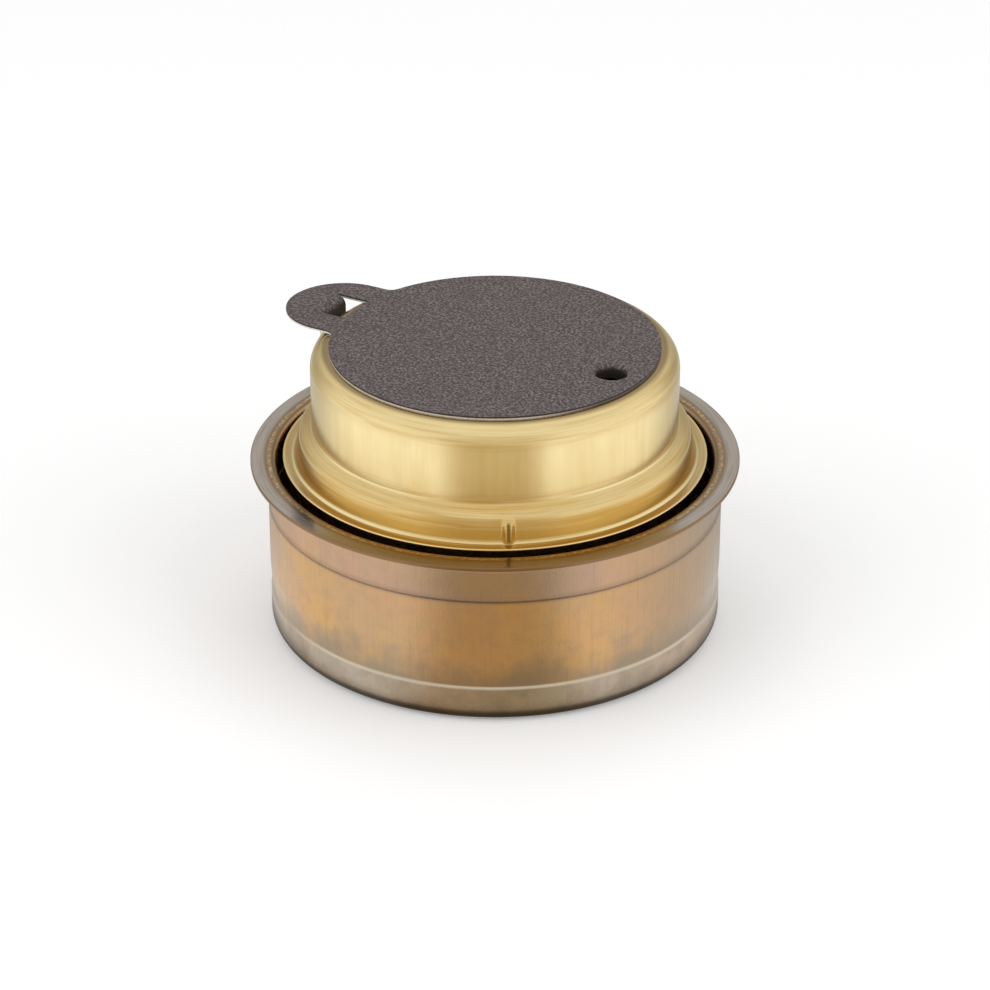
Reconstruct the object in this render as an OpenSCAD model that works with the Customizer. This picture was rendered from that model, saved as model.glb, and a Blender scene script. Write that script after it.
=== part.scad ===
// Spirit burner: a brass burner with a loose lid, standing in a rimmed brass holder cup.
// Origin at the middle of the base, +Z up. The lid's tab points along -X.

/* [Holder cup] */
// Outer diameter of the cup's straight wall, which drops into a stove ring
cup_d = 67.94; // [62:0.02:74]
// Sheet thickness of the cup
cup_t = 0.55; // [0.45:0.05:0.65]
// Height of the rim's top above the table
rim_h = 26.75; // [24:0.25:32]
// How far the rim stands out from the wall
rim_w = 2.53; // [2:0.01:4]
// Bend radius under the rim
throat_round = 0.45; // [0.3:0.05:0.8]
// How far the throat is drawn in from the band under the rim
throat_in = 0.72; // [0.5:0.02:1]
// Lean of the wall where it widens again below the throat, in degrees
throat_lean = 38; // [30:1:45]
// How far the band under the rim is set in from the wall
band_in = 0.2; // [0.1:0.02:0.4]
// Height of the band under the rim
band_h = 7.3; // [5:0.1:9]
// Height of the wall's taper below the band
band_taper = 1.9; // [1:0.1:3]
// Height of the base band
base_band_h = 5; // [4:0.1:6.5]
// Depth of the groove above the base band
groove_in = 0.24; // [0.1:0.02:0.4]
// Height of the wall's taper down to the groove
groove_taper = 4.2; // [3:0.1:6]
// Rounding of the groove's bottom
groove_round = 0.2; // [0.1:0.05:0.3]
// Rounding of the edges of the bands
band_round = 0.6; // [0.3:0.05:0.9]
// Radius of the rounded base edge
base_round = 2.1; // [1:0.1:2.5]
// Rise of the floor's pressed pad, which centres the bowl
pad_rise = 0.8; // [0.5:0.1:1.2]
// Bend radius at the foot of the pad
pad_round = 0.8; // [0.6:0.05:1.2]

/* [Burner cap] */
// Sheet thickness of the cap
cap_t = 0.4; // [0.3:0.05:0.5]
// Gap between the cap's flange and the cup's throat
flange_gap = 0.85; // [0.6:0.05:2]
// Height of the flange's top above the cup's rim
flange_rise = 0.4; // [0:0.05:0.8]
// Width of the flange
flange_w = 1.65; // [1.2:0.05:2.5]
// Height of the skirt above the flange
skirt_h = 3.9; // [3.4:0.05:6]
// How much the skirt widens towards the flange, in radius
skirt_flare = 0.85; // [0.4:0.05:1.2]
// Width of the sloping step between skirt and neck
step_w = 1.85; // [1.4:0.05:2.4]
// Height of the sloping step
step_h = 1; // [0.7:0.05:1.6]
// Height of the neck from the step to the cap's top
neck_h = 12; // [9:0.05:15]
// Radius of the rounded shoulder
shoulder_round = 2.8; // [2:0.1:3.6]
// Width of the flat land between the shoulder and the opening
land_w = 1.95; // [1.6:0.05:3]
// Depth of the opening's turned-down lip
mouth_h = 2.4; // [1.6:0.1:3.5]
// Number of ribs pressed in the skirt
rib_count = 3; // [1:1:4]
// Direction of the first rib, in degrees
rib_turn = -56.3; // [-180:0.1:180]
// Width of a rib
rib_w = 1.7; // [1.4:0.1:2.2]
// How far a rib stands out of the skirt
rib_out = 0.62; // [0.45:0.01:0.8]
// How far a rib stops below the top of the skirt
rib_stop = 0.5; // [0.4:0.05:1]
// Fillet at the foot of the neck
neck_fillet = 0.7; // [0.4:0.05:1]
// Rounding of the edge between the step and the skirt
skirt_round = 0.9; // [0.6:0.05:1.2]
// Fillet between the skirt and the flange
flange_fillet = 0.45; // [0.3:0.05:0.6]
// Bend radius of the opening's lip
mouth_round = 0.9; // [0.6:0.05:1.2]

/* [Fuel bowl] */
// Sheet thickness of the bowl
bowl_t = 0.4; // [0.3:0.05:0.5]
// Clearance between the bowl's wall and the top of the cap's skirt
cap_fit = 0.25; // [0.15:0.05:0.4]
// Clearance between the bowl's rim and the step that seats on it
seat_fit = 0.1; // [0.05:0.05:0.3]
// Radius of the bowl's bottom edge
bowl_round = 1.5; // [1:0.1:2.5]
// Width of the ring that the bowl stands on
foot_w = 1.4; // [1:0.1:2.5]
// Clearance around the floor's pad
pad_fit = 0.4; // [0.3:0.05:0.8]

/* [Wick] */
// Depth of the gauze below the bowl's rim
gauze_depth = 2.6; // [2:0.1:6]
// Thickness of the gauze
gauze_t = 0.6; // [0.4:0.05:1]
// Distance between the gauze's wires
gauze_pitch = 2.9; // [2.7:0.1:5]
// Width of a wire of the gauze
gauze_wire = 0.7; // [0.4:0.05:1]
// Width of the gauze's closed edge
gauze_edge = 1.4; // [1:0.1:2.5]
// Clearance of the wadding and the gauze in the bowl
wick_fit = 0.2; // [0.1:0.05:0.5]
// Wire diameter of the spring ring over the gauze
ring_wire = 1.4; // [1:0.1:2]
// Angle that is left open in the spring ring
ring_gap = 18; // [8:1:40]

/* [Lid] */
// Thickness of the lid's plate
lid_t = 0.5; // [0.4:0.05:0.7]
// How far the plate reaches past the opening's edge
lid_lap = 1.95; // [1.2:0.05:2.5]
// Width of the tab
tab_w = 17; // [13:0.5:20]
// Plate beyond the tongue's bend at the tab's end
tab_end = 5.5; // [4:0.05:8]
// Fillet between the tab and the round plate
tab_fillet = 1.5; // [1:0.1:2.5]
// Width of the slot in the tab
slot_w = 7; // [5:0.1:9]
// Length of the slot from its inner edge to the tongue's bend
slot_l = 5.4; // [4.6:0.1:6.5]
// Bend radius of the tongue's top side
tongue_round = 1.5; // [1:0.1:2.2]
// Gap between the tongue and the cap's neck
tongue_gap = 0.7; // [0.4:0.05:1.2]
// Gap cut along each side of the tongue
lance_gap = 0.2; // [0.1:0.05:0.4]
// Diameter of the vent hole
vent_d = 4.6; // [3.5:0.1:6]
// Depth of the vent's drawn collar below the plate
vent_h = 1.6; // [1:0.1:2.2]
// Radius of the vent's rounded mouth
vent_round = 0.7; // [0.6:0.05:1]
// Gap between the vent's collar and the opening's edge
vent_gap = 0.3; // [0.2:0.05:1]

/* [Hidden] */
$fn = 96;
bend_step = 9;
join = 0.2;

cup_r = cup_d / 2;
band_r = cup_r - band_in;
groove_r = cup_r - groove_in;
rim_r = cup_r + rim_w;
throat_r = band_r - cup_t - throat_in;
throat_corner_r = throat_r + cup_t + throat_round - throat_round * tan(45 + throat_lean / 2);
throat_foot = (band_r - throat_corner_r) / tan(throat_lean);
floor_z = cup_t;

flange_z = rim_h + flange_rise;
flange_r = throat_r - flange_gap;
skirt_foot_r = flange_r - flange_w;
skirt_top_r = skirt_foot_r - skirt_flare;
neck_r = skirt_top_r - step_w;
opening_r = neck_r - shoulder_round - land_w;
skirt_top_z = flange_z + skirt_h;
neck_foot_z = skirt_top_z + step_h;
cap_top_z = neck_foot_z + neck_h;
skirt_tilt = atan(skirt_flare / skirt_h);
rib_h = skirt_h - rib_stop - rib_w / 2;

bowl_r = skirt_top_r - cap_t - cap_fit;
step_slope = step_h / step_w;
step_under = cap_t * sqrt(1 + step_slope * step_slope);
bowl_top_z = skirt_top_z + (skirt_top_r - bowl_r) * step_slope - step_under - seat_fit;
bowl_in_r = bowl_r - bowl_t;
bowl_foot_r = bowl_r - bowl_round - foot_w;
pad_z = floor_z + pad_rise;

gauze_r = bowl_in_r - wick_fit;
gauze_z = bowl_top_z - gauze_depth;
gauze_cells = floor(gauze_r / gauze_pitch);
wadding_z = pad_z + bowl_t;

lid_r = opening_r + lid_lap;
lid_z = cap_top_z;
lid_top_z = lid_z + lid_t;
tongue_x = neck_r + tongue_gap;
slot_end_x = tongue_x + tongue_round;
tongue_drop = slot_l - PI / 2 * (tongue_round - lid_t / 2);
tab_r = tab_w / 2;
tab_x = slot_end_x + tab_end - tab_r;
fillet_y = tab_r + tab_fillet;
fillet_x = sqrt(pow(lid_r + tab_fillet, 2) - pow(fillet_y, 2));
vent_r = vent_d / 2;
vent_x = opening_r - vent_gap - lid_t - vent_r;

// Pressed sheet, drawn as its section. The path follows the sheet's good side from point to point,
// and the metal lies to the right of it. Each corner is bent to its own radius on the good side.
function heading(path, i) = (path[i + 1] - path[i]) / norm(path[i + 1] - path[i]);
function right_of(v) = [v[1], -v[0]];
function turned(v, a) = [v[0] * cos(a) - v[1] * sin(a), v[0] * sin(a) + v[1] * cos(a)];
function turn(a, b) = atan2(a[0] * b[1] - a[1] * b[0], a[0] * b[0] + a[1] * b[1]);
function bend(path, r, depth, i) =
    let (
        ahead = heading(path, i - 1),
        angle = turn(ahead, heading(path, i)),
        inward = right_of(ahead) * (angle < 0 ? 1 : -1),
        centre = path[i] - ahead * r * tan(abs(angle) / 2) + inward * r,
        spoke = r + (angle < 0 ? -depth : depth),
        steps = ceil(abs(angle) / bend_step)
    )
    [for (k = [0 : steps]) centre - turned(inward, angle * k / steps) * spoke];
function face(path, bends, depth) = [
    path[0] + right_of(heading(path, 0)) * depth,
    for (i = [1 : len(path) - 2]) each bend(path, bends[i - 1], depth, i),
    path[len(path) - 1] + right_of(heading(path, len(path) - 2)) * depth
];

module sheet(path, bends, t) {
    back = face(path, bends, t);
    front = face(path, bends, 0);
    polygon([each back, for (i = [len(front) - 1 : -1 : 0]) front[i]]);
}

// Deep-drawn holder: flat rim, drawn-in throat, band, wall with a groove, base band, floor with a pad.
module outer_cup() {
    under_z = rim_h - cup_t;
    groove_z = base_band_h + groove_in * 1.6;
    pad_foot_r = bowl_foot_r - pad_fit - cup_t;
    color([0.66, 0.47, 0.33])
        rotate_extrude()
            sheet(
                [
                    [rim_r, under_z],
                    [throat_corner_r, under_z],
                    [band_r, under_z - throat_foot],
                    [band_r, rim_h - band_h],
                    [cup_r, rim_h - band_h - band_taper],
                    [cup_r, groove_z + groove_taper],
                    [groove_r, groove_z],
                    [cup_r, base_band_h],
                    [cup_r, 0],
                    [pad_foot_r, 0],
                    [pad_foot_r - pad_rise, pad_rise],
                    [0, pad_rise]
                ],
                [
                    throat_round, band_round, band_taper, band_taper, groove_taper, groove_round,
                    band_round, base_round, pad_round, pad_round
                ],
                cup_t
            );
}

// Inner bowl for the spirit: straight wall, rounded bottom edge, foot ring around a raised floor.
module fuel_bowl() {
    color([0.78, 0.62, 0.33])
        rotate_extrude()
            sheet(
                [
                    [bowl_r, bowl_top_z],
                    [bowl_r, floor_z],
                    [bowl_foot_r, floor_z],
                    [bowl_foot_r - pad_rise, pad_z],
                    [0, pad_z]
                ],
                [bowl_round, pad_round, pad_round],
                bowl_t
            );
}

// Absorbent pad: a soft plug with rounded edges between the bowl's floor and the gauze.
module wadding() {
    edge = 2;
    r = bowl_in_r - wick_fit;
    color([0.88, 0.85, 0.78])
        rotate_extrude() {
            translate([0, wadding_z])
                square([r - edge, gauze_z - wadding_z]);
            translate([0, wadding_z + edge])
                square([r, gauze_z - wadding_z - 2 * edge]);
            for (z = [wadding_z + edge, gauze_z - edge])
                translate([r - edge, z])
                    circle(edge);
        }
}

// Wire gauze: square openings in a disc, with a closed edge under the ring.
module gauze() {
    hole = gauze_pitch - gauze_wire;
    color([0.55, 0.53, 0.5])
        translate([0, 0, gauze_z])
            linear_extrude(gauze_t)
                difference() {
                    circle(gauze_r);
                    for (i = [-gauze_cells : gauze_cells], j = [-gauze_cells : gauze_cells])
                        if (norm([abs(i) + 0.5, abs(j) + 0.5]) * gauze_pitch < gauze_r - gauze_edge)
                            translate([i, j] * gauze_pitch)
                                square(hole, center = true);
                }
}

// Split spring ring that grips the bowl's wall and holds the gauze down.
module gauze_ring() {
    color([0.62, 0.61, 0.59])
        translate([0, 0, gauze_z + gauze_t + ring_wire / 2])
            rotate([0, 0, ring_gap / 2])
                rotate_extrude(angle = 360 - ring_gap)
                    translate([bowl_in_r - ring_wire / 2, 0])
                        circle(ring_wire / 2);
}

// Round bars along the skirt's slope, one for each rib, from a foot below the flange to a round end.
module rib_bars(r, foot) {
    for (i = [0 : rib_count - 1])
        rotate([0, 0, rib_turn + i * 360 / rib_count])
            translate([skirt_foot_r, 0, flange_z])
                rotate([0, -skirt_tilt, 0])
                    translate([rib_out - rib_w / 2, 0, 0]) {
                        translate([0, 0, -foot])
                            cylinder(r = r, h = foot + rib_h);
                        translate([0, 0, rib_h])
                            sphere(r);
                    }
}

// The space inside the skirt, up to a quarter of the sheet's depth below its outside.
module skirt_core() {
    reach = 2 * rib_w;
    spread = reach * tan(skirt_tilt);
    translate([0, 0, flange_z - reach])
        cylinder(
            r1 = skirt_foot_r - cap_t / 4 + spread,
            r2 = skirt_top_r - cap_t / 4 - spread,
            h = skirt_h + 2 * reach
        );
}

// Pressed cap: opening with a turned-down lip, land, shoulder, neck, step, skirt, flange and ribs.
module burner_cap() {
    color([0.86, 0.72, 0.42])
        difference() {
            union() {
                rotate_extrude()
                    sheet(
                        [
                            [opening_r, cap_top_z - mouth_h],
                            [opening_r, cap_top_z],
                            [neck_r, cap_top_z],
                            [neck_r, neck_foot_z],
                            [skirt_top_r, skirt_top_z],
                            [skirt_foot_r, flange_z],
                            [flange_r, flange_z]
                        ],
                        [mouth_round, shoulder_round, neck_fillet, skirt_round, flange_fillet],
                        cap_t
                    );
                difference() {
                    rib_bars(rib_w / 2, cap_t / 2);
                    skirt_core();
                }
            }
            rib_bars(rib_w / 2 - cap_t, rib_w);
        }
}

// Plan of the lid's plate: disc, tab with filleted roots, slot and vent hole.
module lid_plan() {
    difference() {
        union() {
            circle(lid_r);
            translate([-tab_x, -tab_r])
                square([tab_x, tab_w]);
            translate([-tab_x, 0])
                circle(tab_r);
            for (s = [-1, 1])
                difference() {
                    polygon([[0, 0], [-fillet_x, s * tab_r - s * join], [-fillet_x, s * fillet_y]]);
                    translate([-fillet_x, s * fillet_y])
                        circle(tab_fillet);
                }
        }
        translate([-slot_end_x, -slot_w / 2])
            square([slot_l, slot_w]);
        translate([vent_x, 0])
            circle(vent_r + vent_round);
    }
}

// Stamped lid: plate, tongue bent down out of the slot, vent with a drawn collar.
module lid() {
    tongue_w = slot_w - 2 * lance_gap;
    color([0.3, 0.28, 0.27]) {
        translate([0, 0, lid_z])
            linear_extrude(lid_t)
                lid_plan();
        rotate([90, 0, 180])
            translate([0, 0, -tongue_w / 2])
                linear_extrude(tongue_w)
                    sheet(
                        [
                            [tongue_x, lid_top_z - tongue_round - tongue_drop],
                            [tongue_x, lid_top_z],
                            [slot_end_x + join, lid_top_z]
                        ],
                        [tongue_round],
                        lid_t
                    );
        translate([vent_x, 0, 0])
            rotate_extrude()
                sheet(
                    [
                        [vent_r, lid_z - vent_h],
                        [vent_r, lid_top_z],
                        [vent_r + vent_round + join, lid_top_z]
                    ],
                    [vent_round],
                    lid_t
                );
    }
}

outer_cup();
fuel_bowl();
wadding();
gauze();
gauze_ring();
burner_cap();
lid();
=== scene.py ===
"""Dresses a packed spirit burner: pressed brass shells, a coated lid, a wick and a plain studio stage."""

import math

import bmesh
import bpy
import numpy as np
from bpy.props import FloatProperty, FloatVectorProperty, IntProperty, PointerProperty
from mathutils import Matrix, Vector


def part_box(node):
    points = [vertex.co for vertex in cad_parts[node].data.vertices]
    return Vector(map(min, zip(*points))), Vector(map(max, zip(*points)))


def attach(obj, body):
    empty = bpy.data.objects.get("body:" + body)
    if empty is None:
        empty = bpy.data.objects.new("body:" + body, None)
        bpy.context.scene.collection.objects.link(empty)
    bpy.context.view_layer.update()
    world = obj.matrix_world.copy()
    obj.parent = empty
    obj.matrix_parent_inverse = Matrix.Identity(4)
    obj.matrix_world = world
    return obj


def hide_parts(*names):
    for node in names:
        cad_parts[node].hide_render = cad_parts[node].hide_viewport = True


bl_info = {
    "name": "Spirit burner",
    "version": (1, 0, 0),
    "blender": (4, 5, 0),
    "location": "View3D > Sidebar > Burner",
    "description": "Builds the visible pieces of a brass spirit burner around its packed frame",
    "category": "Object",
}

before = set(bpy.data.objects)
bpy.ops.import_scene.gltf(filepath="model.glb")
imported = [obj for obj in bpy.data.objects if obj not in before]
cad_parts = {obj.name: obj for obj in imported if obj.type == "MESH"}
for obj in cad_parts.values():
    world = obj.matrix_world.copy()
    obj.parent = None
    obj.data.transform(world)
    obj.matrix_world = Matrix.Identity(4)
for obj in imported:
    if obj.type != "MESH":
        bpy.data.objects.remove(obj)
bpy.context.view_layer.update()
_, CUP_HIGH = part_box("outer_cup")
CAP_LOW, CAP_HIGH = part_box("burner_cap")
BOWL_LOW, BOWL_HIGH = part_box("fuel_bowl")
LID_LOW, LID_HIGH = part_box("lid")
GAUZE_LOW, GAUZE_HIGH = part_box("gauze")
RING_LOW, RING_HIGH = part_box("gauze_ring")
PAD_LOW, PAD_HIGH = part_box("wadding")

MM = 0.001

# Steps of the bent, turned and welded surfaces
ARC_STEP = math.radians(7)
LONGEST_RUN = 1.6 * MM
CAP_RUN = 0.5 * MM
EDGE_GUARD = 0.05 * MM
CUP_STEPS = 420
SHELL_STEPS = 300
PAD_STEPS = 240
RING_STEPS = 220
RING_SIDES = 20
DOME_STEPS = 7
WIRE_STEPS = 161
WIRE_SIDES = 5
HEM_STEPS = 180
HEM_SIDES = 28
BEND_STEPS = 10
WELD_REACH = 0.001 * MM

# Steps of the lid along each stretch of its length, and rows of points beside its middle line
TAB_STEPS, SLOT_STEPS, ROOT_STEPS = 22, 13, 12
PLATE_STEPS, VENT_STEPS, EDGE_STEPS = 90, 33, 16
INNER_ROWS, OUTER_ROWS = 4, 13
TONGUE_RUNS, COLLAR_RUNS = 5, 4

# Steps of the wadding's section, and how far its lumps and tufts draw it in
PAD_FLAT_STEPS, PAD_CORNER_STEPS, PAD_WALL_STEPS = 26, 9, 16
LUMP_DRAW, TUFT_DRAW = 0.28 * MM, 0.16 * MM

# How round the hem's section is across and up: 1 is an ellipse, and less is squarer
HEM_ACROSS, HEM_UP = 0.5, 0.7

# How far a cut edge bulges, as a share of its sheet
CUT_BULGE = 0.15
CAP_CUT_BULGE = 0.3

# A rib of the cap: its columns of points, the margin beside it, and how full its cosine is
RIB_COLUMNS = 29
RIB_MARGIN = 1.15
RIB_FULLNESS = 1.25
RIB_FOOT_REACH = 0.25 * MM
RIB_FOOT_FADE = 0.35 * MM
# Half widths, as angles, of the painted dark reflection along a rib
RIB_LINE, RIB_LINE_FADE = 0.004, 0.012

# Other small shares and gaps of the sections
GROOVE_SLOPE = 1.6
FLARE_SHARE = 0.9
RING_CLEARANCE = 0.03 * MM

# Sides of the object that some painted shade, highlights and reflections lie towards
FRONT = (0.5, -0.87, 0)
RIGHT = (0.87, 0.5, 0)
LID_RIGHT = (0.85, 0.5, 0)

# What polished metal mirrors of the far surroundings, the sky and the floor
FAR_BEHIND = (0.45, 0.43, 0.38)
FAR_BESIDE = (0.95, 0.95, 0.94)
FAR_IN_FRONT = (0.69, 0.64, 0.54)
SKY_ABOVE = (0.86, 0.86, 0.85)
FLOOR_BEHIND = (0.56, 0.55, 0.52)
# A painted shadow on the mirrored floor round the object's foot
FLOOR_PAINTED_SHADOW = (0.05, 0.04, 0.03)
WHITE = (1, 1, 1)
NEAR, FAR = 0.12, 0.3
CONTACT_INNER, CONTACT_OUTER = 33.8 * MM, 39.2 * MM

FLOOR_RADIUS = 3
FLOOR_SIDES = 96

# Soft lamps: two beside the camera and one overhead, a little behind
LAMP_AIM = (0, 0, 0.02)
LAMP_FORWARD, LAMP_REACH, LAMP_HEIGHT, LAMP_WIDTH = 0.5, 0.75, 0.6, 1.0
TOP_LAMP_BACK, TOP_LAMP_HEIGHT, TOP_LAMP_WIDTH = 0.4, 1.2, 1.2


def length(name, description, millimetres):
    """A length property in metres whose default is given in millimetres."""
    return FloatProperty(
        name=name,
        description=description,
        default=millimetres * MM,
        unit="LENGTH",
        precision=5,
    )


def colour(name, description, value):
    """A linear colour property."""
    return FloatVectorProperty(
        name=name,
        description=description,
        default=value,
        size=3,
        subtype="COLOR",
        min=0.0,
        max=1.0,
    )


class HolderSizes(bpy.types.PropertyGroup):
    """Section of the holder cup."""

    sheet: length("Sheet", "Sheet thickness of the cup", 0.55)
    rim: length("Rim width", "How far the rim stands out from the wall", 2.53)
    throat_round: length("Throat bend", "Bend radius under the rim", 0.45)
    throat_in: length("Throat", "How far the throat is drawn in from the band", 0.72)
    throat_lean: FloatProperty(
        name="Throat lean",
        description="Lean of the wall where it widens below the throat",
        default=math.radians(38),
        subtype="ANGLE",
    )
    band_in: length("Upper band inset", "How far the band under the rim is set in", 0.2)
    band_h: length("Upper band height", "Height of the band under the rim, with its flare", 7.1)
    band_flare: length("Band flare", "Height of the flare at the band's foot", 0.65)
    base_band_h: length("Base band height", "Height of the base band", 5.45)
    groove_in: length("Groove depth", "Depth of the groove above the base band", 0.24)
    groove_taper: length("Taper height", "Height of the taper down to the groove", 4.2)
    groove_round: length("Groove rounding", "Rounding of the groove's bottom", 0.2)
    band_round: length("Band rounding", "Rounding of the edges of the bands", 0.6)
    base_round: length("Base rounding", "Radius of the rounded base edge", 2.1)
    pad_radius: length("Pad radius", "Radius where the floor's pad begins", 24.65)
    pad_rise: length("Pad rise", "Rise of the floor's pressed pad", 0.8)
    pad_round: length("Pad bend", "Bend radius at the foot of the pad", 0.8)


class BurnerSizes(bpy.types.PropertyGroup):
    """Sections of the cap and the bowl, and the sizes of the wick."""

    sheet: length("Sheet", "Sheet thickness of the cap and the bowl", 0.4)
    flange: length("Flange width", "Width of the cap's flange", 1.65)
    skirt_h: length("Skirt height", "Height of the skirt above the flange", 3.9)
    skirt_flare: length("Skirt flare", "How much the skirt widens downwards", 0.85)
    step_w: length("Step width", "Width of the step between skirt and neck", 1.85)
    step_h: length("Step height", "Height of the step between skirt and neck", 1.0)
    shoulder_round: length("Shoulder", "Radius of the rounded shoulder", 2.8)
    land: length("Land", "Flat land between the shoulder and the opening", 1.95)
    mouth_h: length("Mouth lip", "Depth of the opening's turned-down lip", 2.4)
    mouth_round: length("Mouth bend", "Bend radius of the opening's lip", 0.9)
    neck_fillet: length("Neck fillet", "Fillet at the foot of the neck", 0.4)
    skirt_round: length("Skirt edge", "Rounding between step and skirt", 1.4)
    flange_fillet: length("Flange fillet", "Fillet between skirt and flange", 0.45)
    rib_count: IntProperty(
        name="Ribs", description="Ribs pressed in the skirt", default=3, min=1, max=6
    )
    rib_turn: FloatProperty(
        name="Rib direction",
        description="Direction of the first rib",
        default=math.radians(-56.3),
        subtype="ANGLE",
    )
    rib_reach: length("Rib half width", "Half width of a rib with its fillets", 1.15)
    rib_out: length("Rib height", "How far a rib stands out of the skirt", 0.62)
    rib_stop: length("Rib end", "Where a rib's end begins below the skirt's top", 0.95)
    bowl_round: length("Bowl edge", "Radius of the bowl's bottom edge", 1.5)
    bowl_foot: length("Bowl foot", "Radius where the bowl's raised floor begins", 25.6)
    bowl_rise: length("Bowl floor rise", "Rise of the bowl's floor", 0.8)
    bowl_bend: length("Bowl floor bend", "Bend radius at the edge of the bowl's raised floor", 0.8)
    pad_edge: length("Wadding edge", "Rounding of the wadding's edges", 2.0)
    mesh_pitch: length("Gauze pitch", "Distance between the gauze's wires", 1.45)
    mesh_edge: length("Gauze hem", "Width of the gauze's pressed edge", 1.4)
    ring_gap: FloatProperty(
        name="Ring gap",
        description="Angle that is left open in the spring ring",
        default=math.radians(18),
        subtype="ANGLE",
    )


class LidSizes(bpy.types.PropertyGroup):
    """Outline and bends of the lid."""

    sheet: length("Sheet", "Thickness of the lid's plate", 0.5)
    tab_width: length("Tab width", "Width of the tab", 17)
    tab_fillet: length("Tab fillet", "Fillet between the tab and the round plate", 1.5)
    slot_width: length("Slot width", "Width of the slot in the tab", 7)
    slot_end: length("Slot end", "Distance of the tongue's bend from the middle", 29.5)
    slot_length: length("Slot length", "Length of the slot", 5.4)
    tongue_width: length("Tongue width", "Width of the tongue", 6.6)
    tongue_round: length("Tongue bend", "Bend radius of the tongue's top side", 1.5)
    vent_x: length("Vent place", "Distance of the vent hole from the middle", 19.45)
    vent_radius: length("Vent radius", "Radius of the vent hole", 2.3)
    vent_round: length("Vent mouth", "Radius of the vent's rounded mouth", 0.7)
    vent_h: length("Vent depth", "Depth of the vent's collar below the plate", 1.6)
    edge: length("Edge rounding", "Rounding of the plate's cut edges", 0.07)


class Finishes(bpy.types.PropertyGroup):
    """Colours of the finishes."""

    cap_pale: colour("Pale brass", "Clean satin brass", (0.98, 0.81, 0.43))
    # Painted highlights on the cap's edges and fillets
    cap_highlight: colour("Burnished brass", "Burnished edges and fillets", (1.0, 0.9, 0.5))
    # Also carries the painted shade low on the skirt
    cap_deep: colour("Deep brass", "Rubbed and slightly dull brass", (0.6, 0.35, 0.08))
    # Painted dark reflection on the flange and painted shade in a ring by the lid's edge
    cap_painted_shade: colour("Brass film", "Brown film by the lid and on the flange", (0.3, 0.2, 0.09))
    # Painted dark reflection along the middle of a rib
    cap_rib_reflection: colour("Rib line", "Dark line along the middle of a rib", (0.14, 0.07, 0.02))
    cup_copper: colour("Copper tint", "Heat-tinted wall", (0.655, 0.385, 0.165))
    cup_orange: colour("Orange tint", "Warmest patches of the wall", (0.665, 0.395, 0.158))
    cup_pink: colour("Pink tint", "Pinkish patches of the wall", (0.57, 0.36, 0.235))
    cup_olive: colour("Olive tint", "Greenish patches of the wall", (0.46, 0.39, 0.24))
    # Painted shade on the right, on the front of the upper band and low on the wall, and real dirt
    cup_smoke_and_shade: colour("Smoke tint", "Greyish brown smoke and dirt on the wall", (0.32, 0.255, 0.185))
    cup_grey: colour("Grey tint", "Greyish base band and stamp marks", (0.49, 0.42, 0.33))
    # Painted highlight on the top edge of the base band
    cup_edge_highlight: colour("Worn edge", "Rubbed top edge of the base band", (0.77, 0.68, 0.53))
    # The rim's grey outside away from the front, against brown in front, is a painted reflection
    rim_grey: colour("Rim grey", "Greyish outer part of the rim", (0.5, 0.45, 0.4))
    rim_brown: colour("Rim brown", "Brown inner part of the rim", (0.235, 0.145, 0.066))
    # Soot on edges and in streaks, and painted shade under the ledge and at the foot
    cup_soot_and_shade: colour("Soot", "Dark film on edges, in streaks and at the foot", (0.08, 0.05, 0.035))
    bowl: colour("Bowl brass", "Plain drawn brass", (0.72, 0.53, 0.24))
    coat: colour("Coat", "Dark wrinkle coating", (0.049, 0.0385, 0.038))
    # Painted highlights on the crests of the wrinkles
    coat_crest_highlight: colour("Coat crests", "Crests of the wrinkles", (0.24, 0.1925, 0.193))
    # Painted shade on the tongue and in the vent
    coat_shade: colour("Coat shade", "Coat on the tongue and in the vent", (0.02, 0.016, 0.014))
    bare_edge: colour("Cut edge", "Bare cut edge of the lid", (0.85, 0.81, 0.74))
    wire: colour("Wire", "Dull steel wire", (0.4, 0.39, 0.37))
    wire_stain: colour("Wire stain", "Brown stain on the wire", (0.2, 0.14, 0.09))
    fibre: colour("Fibre", "Absorbent fibre", (0.78, 0.74, 0.66))
    fibre_shade: colour("Fibre shade", "Shade between the fibres", (0.35, 0.31, 0.25))
    fibre_stain: colour("Fibre stain", "Stained fibre", (0.55, 0.47, 0.34))
    floor: colour("Floor", "Plain pale floor", (0.82, 0.82, 0.82))


class StudioSettings(bpy.types.PropertyGroup):
    """Camera and light."""

    azimuth: FloatProperty(
        name="Azimuth",
        description="Direction that the camera stands in",
        default=math.radians(30),
        subtype="ANGLE",
    )
    elevation: FloatProperty(
        name="Elevation",
        description="Height of the camera above the horizon",
        default=math.radians(27.27),
        subtype="ANGLE",
    )
    distance: length("Distance", "Distance of the camera from the aim point", 530)
    aim_z: length("Aim height", "Height of the aim point", 22)
    aim_down: length("Aim down", "Shift of the view downwards", 2.31)
    lens: FloatProperty(
        name="Lens",
        description="Focal length in millimetres on a 36 mm sensor",
        default=128.43,
        unit="CAMERA",
    )
    lamp: FloatProperty(
        name="Lamps",
        description="Power of each soft lamp",
        default=4.4,
        unit="POWER",
    )
    sky: FloatProperty(
        name="Sky",
        description="Strength of the light from all round",
        default=0.45,
    )
    floor_glow: FloatProperty(
        name="Floor glow",
        description="Whiteness added to the floor where the camera sees it",
        default=0.2,
    )
    front_shade: colour("Front shade", "The dim front that the metal mirrors", (0.59, 0.5, 0.36))


PROPERTY_GROUPS = {
    "burner_holder": HolderSizes,
    "burner_body": BurnerSizes,
    "burner_lid": LidSizes,
    "burner_finish": Finishes,
    "burner_studio": StudioSettings,
}


def right_of(heading):
    """The direction to the right of a heading, in the section's plane."""
    return np.array([heading[1], -heading[0]])


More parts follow.
